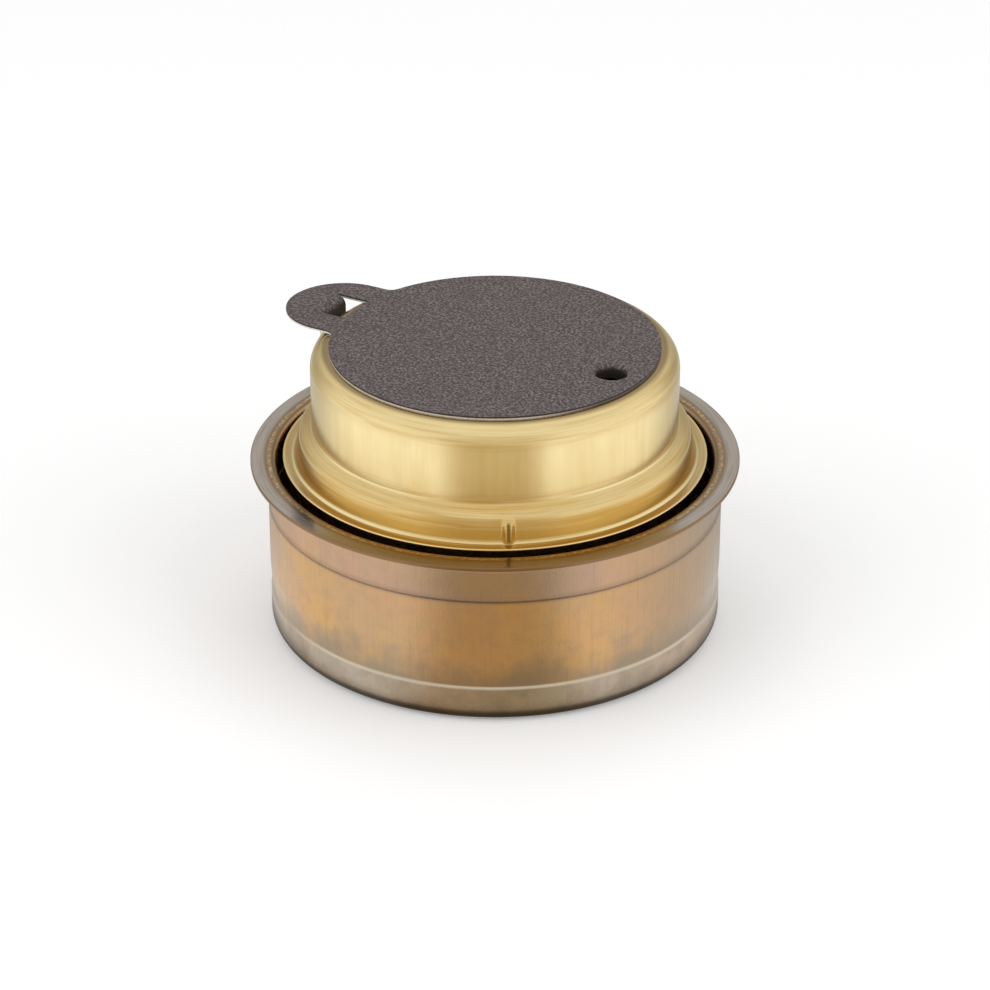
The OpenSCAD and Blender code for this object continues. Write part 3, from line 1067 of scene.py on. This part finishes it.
def satin_brass(colours, sizes):
    """Satin brass: drawing marks up the neck, polishing marks round the rest, painted highlights and shade.

    Its zones are reckoned from the flange, the neck's foot, the top and the flange's edge.
    """
    material, n, surface = new_material("satin_brass")
    place = n.group(place_group()).outputs
    height, radius, direction = place["Height"], place["Radius"], place["Direction"]
    flange, top, edge = CAP_LOW.z + sizes.sheet, CAP_HIGH.z, CAP_HIGH.x
    neck_foot = flange + sizes.skirt_h + sizes.step_h
    skirt_foot = edge - sizes.flange
    neck_side = skirt_foot - sizes.skirt_flare - sizes.step_w
    streaks = n.group(streak_group(), Fineness=150.0, Run=90.0, Detail=5.0).outputs[0]
    broad = n.group(streak_group(), Fineness=16.0, Run=45.0, Detail=3.0).outputs[0]
    marks = n.group(turning_group(), Fineness=4200.0, Around=3.0).outputs[0]
    bands = n.group(turning_group(), Fineness=900.0, Around=1.5).outputs[0]
    clouds = n.group(cloud_group(), Scale=70.0, Offset=0.31, Middle=0.52, Spread=0.16).outputs[0]

    # Dull patches on the neck, dull rings elsewhere, deeper brass lower down, and painted shade low on the
    # skirt
    neck = zone(n, height, neck_foot + 1.15 * MM, top - 3.25 * MM, 0.8 * MM)
    grain = shared(n, neck, marks, streaks)
    patches = n.plus(n.remap(broad, 0.35, 0.7, 0.0, 0.12), n.times(clouds, 0.16))
    rings = n.plus(n.remap(bands, 0.42, 0.66, 0.12, 0.36), n.remap(marks, 0.4, 0.7, 0.0, 0.18))
    dull = shared(n, neck, rings, patches)
    above_fillet = n.remap(height, flange + 0.25 * MM, flange + 0.75 * MM)
    # Painted shade: the skirt darker towards its foot
    skirt = n.remap(height, flange + 1.05 * MM, neck_foot - 0.85 * MM, 0.6, 0.0)
    lower = n.remap(height, neck_foot - 0.05 * MM, top - 4.05 * MM, 0.25, 0.0)
    deep = n.plus(dull, n.plus(lower, n.times(skirt, above_fillet)))
    tone = n.blend(deep, colours.cap_pale, colours.cap_deep)

    # A painted dark reflection on the flange beside the skirt's foot, and a ring of painted shade by the
    # lid's edge
    on_flange = zone(n, radius, skirt_foot + 0.2 * MM, edge - 0.35 * MM, 0.1 * MM)
    film = n.times(n.remap(height, flange + 0.05 * MM, flange + 0.35 * MM, 0.4, 0.0), on_flange)
    by_lid = n.remap(radius, neck_side - 2.2 * MM, neck_side - 1.4 * MM, 0.85, 0.0)
    stain = n.times(by_lid, n.remap(height, top - 2.05 * MM, top - 1.05 * MM))
    tone = n.blend(n.plus(film, stain), tone, colours.cap_painted_shade)

    # Painted highlights at the neck's foot and in the flange's fillet, fading out in front, and on the
    # flange's edge
    beside = n.remap(along(n, direction, FRONT), 0.85, 0.97, 1.0, 0.0)
    foot_line = zone(n, height, neck_foot - 0.02 * MM, neck_foot + 0.19 * MM, 0.2 * MM)
    fillet = zone(n, radius, skirt_foot, skirt_foot + 0.25 * MM, 0.2 * MM)
    fillet = n.times(fillet, n.remap(height, flange + 0.15 * MM, flange + 0.55 * MM, 1.0, 0.0))
    painted_highlight = n.times(n.plus(foot_line, fillet), beside)
    painted_highlight = n.plus(painted_highlight, n.remap(radius, edge - 0.17 * MM, edge - 0.09 * MM, 0.0, 0.6))
    tone = n.blend(n.times(painted_highlight, 0.9), tone, colours.cap_highlight)

    # A painted dark reflection along the middle of each rib
    on_skirt = zone(n, height, flange + 0.55 * MM, flange + 3.15 * MM, 0.3 * MM)
    crest = n.times(rib_lines(n, direction, sizes), on_skirt)
    tone = n.blend(n.times(crest, 0.75), tone, colours.cap_rib_reflection)

    rough = n.plus(n.remap(grain, 0.25, 0.75, 0.13, 0.22), n.times(dull, 0.05))
    normal = bumped(n, grain, 0.12, 0.06 * MM)
    feed(n, surface, Base_Color=tone, Metallic=1.0, Roughness=rough, Normal=normal)
    return material


def heat_tinted_brass(colours, sizes):
    """Brass tinted by heat: copper walls with orange, pink and olive patches, a grey base band, painted
    shade and highlights, and a rim painted grey as a reflection.

    Its zones are reckoned from the floor, the base band, the upper band's ledge and the rim.
    """
    material, n, surface = new_material("heat_tinted_brass")
    place = n.group(place_group()).outputs
    height, radius, direction = place["Height"], place["Radius"], place["Direction"]
    rim_h, rim_r, base = CUP_HIGH.z, CUP_HIGH.x, sizes.base_band_h
    ledge = rim_h - sizes.band_h
    in_front = along(n, direction, FRONT)
    streaks = n.group(streak_group(), Fineness=110.0, Run=70.0, Detail=5.0).outputs[0]
    broad = n.group(streak_group(), Fineness=14.0, Run=28.0, Detail=3.0).outputs[0]
    smears = n.group(streak_group(), Fineness=6.0, Run=60.0, Detail=5.0).outputs[0]
    marks = n.group(turning_group(), Fineness=3600.0, Around=4.0).outputs[0]
    rosy = n.group(cloud_group(), Scale=70.0, Offset=2.13, Middle=0.5, Spread=0.12).outputs[0]
    green = n.group(cloud_group(), Scale=95.0, Offset=5.2, Middle=0.55, Spread=0.09).outputs[0]
    drift = n.group(cloud_group(), Scale=28.0, Offset=4.4, Middle=0.5, Spread=0.2).outputs[0]
    dirt = n.group(cloud_group(), Scale=420.0, Offset=3.3, Middle=0.54, Spread=0.12).outputs[0]
    fine = n.group(cloud_group(), Scale=1900.0, Offset=0.11, Middle=0.55, Spread=0.1).outputs[0]

    # Patches of tint on the wall, with a pinker upper band
    tone = n.blend(n.remap(smears, 0.42, 0.62), colours.cup_copper, colours.cup_orange)
    upper = n.remap(height, ledge - 0.35 * MM, ledge + 0.25 * MM, 0.0, 0.55)
    tone = n.blend(n.plus(n.times(rosy, 0.5), upper), tone, colours.cup_pink)
    tone = n.blend(n.times(green, 0.18), tone, colours.cup_olive)

    # Painted shade on the right, on the front of the upper band and low on the wall, then streaks and dirt
    right_shade = n.remap(along(n, direction, RIGHT), 0.45, 0.9, 0.0, 0.65)
    tone = n.blend(right_shade, tone, colours.cup_smoke_and_shade)
    ahead = n.remap(in_front, 0.86, 0.97, 0.0, 0.7)
    tone = n.blend(n.times(ahead, upper), tone, colours.cup_smoke_and_shade)
    fall = n.plus(n.times(broad, 3.0 * MM), n.times(n.plus(drift, green), 2.0 * MM))
    smoke = n.remap(n.math("SUBTRACT", height, fall), 1.2 * MM, 7.8 * MM, 0.85, 0.0)
    tone = n.blend(smoke, tone, colours.cup_smoke_and_shade)
    tone = n.blend(n.remap(streaks, 0.5, 0.78, 0.0, 0.14), tone, colours.cup_soot_and_shade)
    soiled = n.times(dirt, n.remap(height, 6.0 * MM, 18.0 * MM, 0.3, 0.14))
    tone = n.blend(soiled, tone, colours.cup_smoke_and_shade)

    # The grey base band with a painted highlight on its top edge, and painted shade under the ledge and at
    # the foot
    band = n.blend(n.times(rosy, 0.4), colours.cup_grey, colours.cup_pink)
    band = n.blend(n.times(n.plus(green, dirt), 0.35), band, colours.cup_smoke_and_shade)
    tone = n.blend(n.remap(height, base - 0.1 * MM, base + 0.4 * MM, 0.9, 0.0), tone, band)
    band_highlight = zone(n, height, base + 0.03 * MM, base + 0.38 * MM, 0.2 * MM)
    band_highlight = n.times(band_highlight, n.remap(drift, 0.0, 1.0, 0.5, 0.75))
    tone = n.blend(band_highlight, tone, colours.cup_edge_highlight)
    # Painted shade under the ledge's flare and at the foot
    shade = n.times(zone(n, height, ledge - 0.05 * MM, ledge + sizes.band_flare, 0.6 * MM), 0.28)
    shade = n.plus(shade, n.remap(height, 0.6 * MM, 2.6 * MM, 0.5, 0.0))
    tone = n.blend(shade, tone, colours.cup_soot_and_shade)

    # The rim: brown inside and in front, grey outside away from the front as a painted reflection, with a
    # line of bright grains
    flat = n.remap(height, rim_h - 0.2 * MM, rim_h - 0.05 * MM)
    away = n.remap(in_front, 0.6, 0.85, 1.0, 0.3)
    outer = n.times(n.remap(radius, rim_r - 2.5 * MM, rim_r - 1.5 * MM), away)
    rim = n.blend(outer, colours.rim_brown, colours.rim_grey)
    rim = n.blend(n.remap(marks, 0.4, 0.75, 0.0, 0.4), rim, colours.rim_brown)
    grainy = zone(n, radius, rim_r - 3.0 * MM, rim_r - 2.4 * MM, 0.2 * MM)
    specks = n.times(grainy, fine)
    rim = n.blend(n.times(grainy, 0.4), rim, colours.cup_pink)
    rim = n.blend(n.times(specks, 0.45), rim, colours.cap_pale)
    tone = n.blend(flat, tone, rim)
    edge = n.blend(0.65, colours.cup_copper, colours.cup_soot_and_shade)
    tone = n.blend(n.remap(radius, rim_r - 0.14 * MM, rim_r - 0.07 * MM), tone, edge)

    on_wall = n.remap(streaks, 0.25, 0.75, 0.2, 0.32)
    rough = shared(n, flat, on_wall, n.remap(marks, 0.3, 0.7, 0.13, 0.2))
    relief = n.plus(n.times(shared(n, flat, streaks, marks), 0.5), specks)
    normal = bumped(n, relief, 0.09, 0.08 * MM)
    feed(n, surface, Base_Color=tone, Metallic=1.0, Roughness=rough, Normal=normal)
    return material


def drawn_brass(colours):
    """Plain drawn brass for the bowl."""
    material, n, surface = new_material("drawn_brass")
    streaks = n.group(streak_group(), Fineness=90.0, Run=60.0, Detail=4.0).outputs[0]
    clouds = n.group(cloud_group(), Scale=80.0, Offset=1.7, Middle=0.5, Spread=0.15).outputs[0]
    tone = n.blend(n.times(clouds, 0.25), colours.bowl, colours.cap_deep)
    rough = n.remap(streaks, 0.25, 0.75, 0.28, 0.42)
    normal = bumped(n, streaks, 0.15, 0.08 * MM)
    feed(n, surface, Base_Color=tone, Metallic=1.0, Roughness=rough, Normal=normal)
    return material


def wrinkle_coat(colours):
    """Dark coating with a fine wrinkle, with painted highlights on its crests and painted shade below the
    plate's top.
    """
    material, n, surface = new_material("wrinkle_coat")
    where = n.add("ShaderNodeTexCoord").outputs["Object"]
    height, top = n.group(place_group()).outputs["Height"], LID_HIGH.z
    wrinkle = n.add("ShaderNodeTexNoise", Vector=where, Scale=2600.0, Detail=3.0, Roughness=0.6).outputs[0]
    mottled = n.group(cloud_group(), Scale=300.0, Offset=0.4, Middle=0.5, Spread=0.2).outputs[0]
    # Painted highlights on the wrinkles' crests
    crest = n.times(n.remap(wrinkle, 0.4, 0.74), n.remap(mottled, 0.0, 1.0, 0.85, 1.0))
    tone = n.blend(crest, colours.coat, colours.coat_crest_highlight)
    # Painted shade below the plate's top, on the tongue and in the vent
    tone = n.blend(n.remap(height, top - 1.15 * MM, top - 0.15 * MM, 0.9, 0.0), tone, colours.coat_shade)
    rough = n.remap(wrinkle, 0.35, 0.65, 0.65, 0.45)
    normal = bumped(n, wrinkle, 0.6, 0.14 * MM)
    feed(n, surface, Base_Color=tone, Roughness=rough, Normal=normal, Specular_IOR_Level=0.35)
    return material


def cut_metal(colours):
    """Cut edge of the lid: bare below the coat's edge, with marks of the stamp, and painted shade on one
    side.
    """
    material, n, surface = new_material("cut_metal")
    place, top = n.group(place_group()).outputs, LID_HIGH.z
    streaks = n.group(streak_group(), Fineness=260.0, Run=30.0, Detail=3.0).outputs[0]
    tone = n.blend(n.remap(streaks, 0.5, 0.75), colours.bare_edge, colours.cup_grey)
    # Painted shade: the edge takes the coat's dark colour on one side
    shaded_side = n.remap(along(n, place["Direction"], LID_RIGHT), 0.1, 0.65, 0.0, 0.85)
    coated_top = n.remap(place["Height"], top - 0.3 * MM, top - 0.2 * MM)
    tone = n.blend(n.math("MAXIMUM", shaded_side, coated_top), tone, colours.coat)
    feed(n, surface, Base_Color=tone, Metallic=0.5, Roughness=n.remap(streaks, 0.3, 0.7, 0.4, 0.55))
    return material


def dull_wire(colours):
    """Dull steel wire with brown stains."""
    material, n, surface = new_material("dull_wire")
    stain = n.group(cloud_group(), Scale=220.0, Offset=3.3, Middle=0.55, Spread=0.15).outputs[0]
    grain = n.group(cloud_group(), Scale=2600.0, Offset=0.9, Middle=0.5, Spread=0.3).outputs[0]
    tone = n.blend(n.times(stain, 0.5), colours.wire, colours.wire_stain)
    rough = n.remap(grain, 0.0, 1.0, 0.34, 0.52)
    normal = bumped(n, grain, 0.2, 0.04 * MM)
    feed(n, surface, Base_Color=tone, Metallic=1.0, Roughness=rough, Normal=normal)
    return material


def loose_fibre(colours):
    """Off-white absorbent fibre: thin crossing strands in the bump and small shadows between them."""
    material, n, surface = new_material("loose_fibre")
    where = n.add("ShaderNodeTexCoord").outputs["Object"]
    strands = n.add(
        "ShaderNodeTexNoise", Vector=where, Scale=1300.0, Detail=5.0, Roughness=0.7, Distortion=2.2
    ).outputs[0]
    stain = n.group(cloud_group(), Scale=90.0, Offset=1.2, Middle=0.55, Spread=0.2).outputs[0]
    tone = n.blend(n.remap(strands, 0.35, 0.6, 0.6, 0.0), colours.fibre, colours.fibre_shade)
    tone = n.blend(n.times(stain, 0.35), tone, colours.fibre_stain)
    rough = n.remap(strands, 0.3, 0.7, 0.95, 0.8)
    feed(n, surface, Base_Color=tone, Roughness=rough, Normal=bumped(n, strands, 0.9, 0.4 * MM))
    return material


class BURNER_OT_holder(bpy.types.Operator):
    """Makes the holder cup."""

    bl_idname = "burner.holder"
    bl_label = "Holder cup"

    def execute(self, context):
        scene = context.scene
        sizes = scene.burner_holder
        section = holder_section(sizes)
        piece = new_piece("holder_cup", *revolve_to_axis(section, even_angles(CUP_STEPS)))
        brass = heat_tinted_brass(scene.burner_finish, sizes)
        install(piece, "holder", "outer_cup", "tinted_brass", brass)
        return {"FINISHED"}


class BURNER_OT_bowl(bpy.types.Operator):
    """Makes the fuel bowl."""

    bl_idname = "burner.bowl"
    bl_label = "Fuel bowl"

    def execute(self, context):
        scene = context.scene
        section = bowl_section(scene.burner_body)
        piece = new_piece("fuel_bowl_shell", *revolve_to_axis(section, even_angles(SHELL_STEPS)))
        install(piece, "burner", "fuel_bowl", "plain_brass", drawn_brass(scene.burner_finish))
        return {"FINISHED"}


class BURNER_OT_wick(bpy.types.Operator):
    """Makes the wadding, the woven gauze with its hem, and the spring ring."""

    bl_idname = "burner.wick"
    bl_label = "Wick"

    def execute(self, context):
        scene = context.scene
        sizes, colours = scene.burner_body, scene.burner_finish
        pad = new_piece("wadding_pad", *wadding_surface(sizes))
        install(pad, "burner", "wadding", "fibre", loose_fibre(colours))
        wire = dull_wire(colours)
        gauze = new_piece("gauze_weave", *woven_gauze(sizes))
        install(gauze, "burner", "gauze", "wire", wire)
        hem = new_piece("gauze_hem", *gauze_hem(sizes))
        install(hem, "burner", "gauze", "wire", wire)
        ring = new_piece("spring_ring", *spring_ring(sizes))
        install(ring, "burner", "gauze_ring", "wire", wire)
        return {"FINISHED"}


class BURNER_OT_cap(bpy.types.Operator):
    """Makes the burner cap."""

    bl_idname = "burner.cap"
    bl_label = "Burner cap"

    def execute(self, context):
        scene = context.scene
        sizes = scene.burner_body
        piece = new_piece("cap_shell", *cap_surface(sizes))
        install(piece, "cap", "burner_cap", "bright_brass", satin_brass(scene.burner_finish, sizes))
        return {"FINISHED"}


class BURNER_OT_lid(bpy.types.Operator):
    """Makes the lid: its top side, given a thickness and rounded cut edges."""

    bl_idname = "burner.lid"
    bl_label = "Lid"

    def execute(self, context):
        scene = context.scene
        sizes, colours = scene.burner_lid, scene.burner_finish
        piece = new_piece("lid_plate", *joined_patches(lid_top(sizes)), closed=False)
        weld(piece, WELD_REACH)
        wall = piece.modifiers.new("sheet", "SOLIDIFY")
        wall.thickness = sizes.sheet
        wall.offset = -1
        wall.use_even_offset = True
        wall.material_offset_rim = 1
        edge = piece.modifiers.new("cut_edge", "BEVEL")
        edge.width = sizes.edge
        edge.segments = 2
        edge.limit_method = "ANGLE"
        edge.angle_limit = math.radians(50)
        edge.harden_normals = True
        install(piece, "lid", "lid", "dark_coat", wrinkle_coat(colours), cut_metal(colours))
        return {"FINISHED"}


def soft_lamp(name, place, aim, width, power):
    """A square area lamp that points at a place and isn't mirrored, so it leaves no hard highlight."""
    lamp = bpy.data.lights.new(name, "AREA")
    lamp.shape = "SQUARE"
    lamp.size, lamp.energy = width, power
    holder = bpy.data.objects.new(name, lamp)
    holder.location = place
    holder.rotation_euler = (Vector(aim) - Vector(place)).to_track_quat("-Z", "Y").to_euler()
    holder.visible_glossy = False
    bpy.context.scene.collection.objects.link(holder)


def horizon(n, way, front):
    """How far a way faces the front, and what lies far off: dim behind, bright beside, shaded in front."""
    level = n.add("ShaderNodeVectorMath", {"operation": "MULTIPLY"}, _0=way, _1=(1, 1, 0))
    level = n.add("ShaderNodeVectorMath", {"operation": "NORMALIZE"}, _0=level.outputs[0])
    facing = along(n, level.outputs[0], front)
    tone = n.blend(n.remap(facing, -0.8, -0.2), FAR_BEHIND, FAR_BESIDE)
    return facing, n.blend(n.remap(facing, 0.7, 1.0), tone, FAR_IN_FRONT)


def mirrored_floor(n, spot, front, shade):
    """The floor as metal mirrors it: white near by, with a shaded wedge in front and a painted shadow at
    the foot.
    """
    facing, far = horizon(n, spot, front)
    reach = n.add("ShaderNodeVectorMath", {"operation": "LENGTH"}, _0=spot).outputs["Value"]
    near = n.blend(n.remap(facing, -0.75, 0.15), FLOOR_BEHIND, WHITE)
    tone = n.blend(n.remap(reach, NEAR, FAR), near, far)
    wedge = n.times(n.remap(facing, 0.83, 0.99), n.remap(reach, NEAR, FAR, 1.0, 0.0))
    tone = n.blend(wedge, tone, shade)
    return n.blend(n.remap(reach, CONTACT_INNER, CONTACT_OUTER, 0.85, 0.0), tone, FLOOR_PAINTED_SHADOW)


def add_camera(scene, s):
    """Puts the camera at its distance and aims it a little below the object's middle."""
    level = math.cos(s.elevation)
    to_camera = Vector((math.sin(s.azimuth) * level, -math.cos(s.azimuth) * level, math.sin(s.elevation)))
    middle = Vector((0, 0, s.aim_z))
    place = middle + to_camera * s.distance
    turn = (-to_camera).to_track_quat("-Z", "Y").to_matrix()
    aim = middle + turn @ Vector((0, -s.aim_down, 0))
    turn = (aim - place).to_track_quat("-Z", "Y").to_matrix()
    lens = bpy.data.cameras.new("camera")
    lens.lens = s.lens
    lens.sensor_width = 36
    lens.clip_start, lens.clip_end = 0.01, 50
    camera = bpy.data.objects.new("camera", lens)
    camera.matrix_world = Matrix.Translation(place) @ turn.to_4x4()
    scene.collection.objects.link(camera)
    scene.camera = camera


def pale_floor(s, colours, front):
    """A matt pale floor that the camera sees whiter, and that metal mirrors as a studio's floor."""
    material = bpy.data.materials.new("pale_floor")
    n = empty_tree(material)
    path = n.add("ShaderNodeLightPath").outputs
    spot = n.add("ShaderNodeTexCoord").outputs["Object"]
    seen = n.math("MAXIMUM", path["Is Camera Ray"], path["Is Transmission Ray"])
    matt = n.add("ShaderNodeBsdfDiffuse", Color=colours.floor).outputs[0]
    glow = n.add("ShaderNodeEmission", Strength=n.times(seen, s.floor_glow)).outputs[0]
    lit = n.add("ShaderNodeAddShader", _0=matt, _1=glow).outputs[0]
    tone = mirrored_floor(n, spot, front, s.front_shade)
    mirrored = n.add("ShaderNodeEmission", Color=tone).outputs[0]
    both = n.add("ShaderNodeMixShader", _0=path["Is Glossy Ray"], _1=lit, _2=mirrored).outputs[0]
    n.add("ShaderNodeOutputMaterial", Surface=both)
    return material


def add_floor(scene, material):
    """Lays a wide round floor under the object."""
    ring = even_angles(FLOOR_SIDES)
    points = np.stack([np.cos(ring), np.sin(ring), np.zeros(FLOOR_SIDES)], axis=1) * FLOOR_RADIUS
    mesh = bpy.data.meshes.new("floor")
    mesh.from_pydata(points.tolist(), [], [list(range(FLOOR_SIDES))])
    mesh.materials.append(material)
    floor = bpy.data.objects.new("floor", mesh)
    scene.collection.objects.link(floor)


def studio_world(s, front):
    """Even light from all round, white to the camera, with a studio's horizon for metal to mirror."""
    world = bpy.data.worlds.new("studio")
    n = empty_tree(world)
    path = n.add("ShaderNodeLightPath").outputs
    way = n.add("ShaderNodeTexCoord").outputs["Generated"]
    rise = n.add("ShaderNodeSeparateXYZ", Vector=way).outputs["Z"]
    _, mirrored = horizon(n, way, front)
    mirrored = n.blend(n.remap(rise, 0.1, 0.75), mirrored, SKY_ABOVE)
    shown = n.blend(path["Is Glossy Ray"], (s.sky, s.sky, s.sky), mirrored)
    clear = n.math("MAXIMUM", path["Is Camera Ray"], path["Is Transmission Ray"])
    sky = n.add("ShaderNodeBackground", Color=n.blend(clear, shown, WHITE), Strength=1.0)
    n.add("ShaderNodeOutputWorld", Surface=sky.outputs[0])
    return world


class BURNER_OT_stage(bpy.types.Operator):
    """Makes the floor, the light and the camera."""

    bl_idname = "burner.stage"
    bl_label = "Stage"

    def execute(self, context):
        scene = context.scene
        s = scene.burner_studio
        front = Vector((math.sin(s.azimuth), -math.cos(s.azimuth), 0))
        side = Vector((math.cos(s.azimuth), math.sin(s.azimuth), 0))
        scene.view_settings.view_transform = "Standard"
        scene.world = studio_world(s, front)
        add_camera(scene, s)
        add_floor(scene, pale_floor(s, scene.burner_finish, front))
        for name, across in (("lamp_left", -side), ("lamp_right", side)):
            place = (front * LAMP_FORWARD + across) * LAMP_REACH + Vector((0, 0, LAMP_HEIGHT))
            soft_lamp(name, place, LAMP_AIM, LAMP_WIDTH, s.lamp)
        place = Vector((0, 0, TOP_LAMP_HEIGHT)) - front * TOP_LAMP_BACK
        soft_lamp("lamp_top", place, LAMP_AIM, TOP_LAMP_WIDTH, s.lamp)
        return {"FINISHED"}


class BURNER_PT_panel(bpy.types.Panel):
    """Sidebar panel with the burner's sizes, finishes and operators."""

    bl_idname = "BURNER_PT_panel"
    bl_label = "Spirit burner"
    bl_space_type = "VIEW_3D"
    bl_region_type = "UI"
    bl_category = "Burner"

    def draw(self, context):
        for operator in OPERATORS:
            self.layout.operator(operator.bl_idname)
        for name, group in PROPERTY_GROUPS.items():
            box = self.layout.box()
            box.label(text=group.__doc__)
            for key in group.__annotations__:
                box.prop(getattr(context.scene, name), key)


OPERATORS = (
    BURNER_OT_stage,
    BURNER_OT_holder,
    BURNER_OT_bowl,
    BURNER_OT_wick,
    BURNER_OT_cap,
    BURNER_OT_lid,
)
CLASSES = (*PROPERTY_GROUPS.values(), *OPERATORS, BURNER_PT_panel)


def register():
    for cls in CLASSES:
        bpy.utils.register_class(cls)
    for name, group in PROPERTY_GROUPS.items():
        setattr(bpy.types.Scene, name, PointerProperty(type=group))


def unregister():
    for name in PROPERTY_GROUPS:
        delattr(bpy.types.Scene, name)
    for cls in reversed(CLASSES):
        bpy.utils.unregister_class(cls)


def main():
    """Registers the classes and makes every piece."""
    register()
    bpy.ops.burner.stage()
    bpy.ops.burner.holder()
    bpy.ops.burner.bowl()
    bpy.ops.burner.wick()
    bpy.ops.burner.cap()
    bpy.ops.burner.lid()
    bpy.context.view_layer.update()


if __name__ == "__main__":
    main()
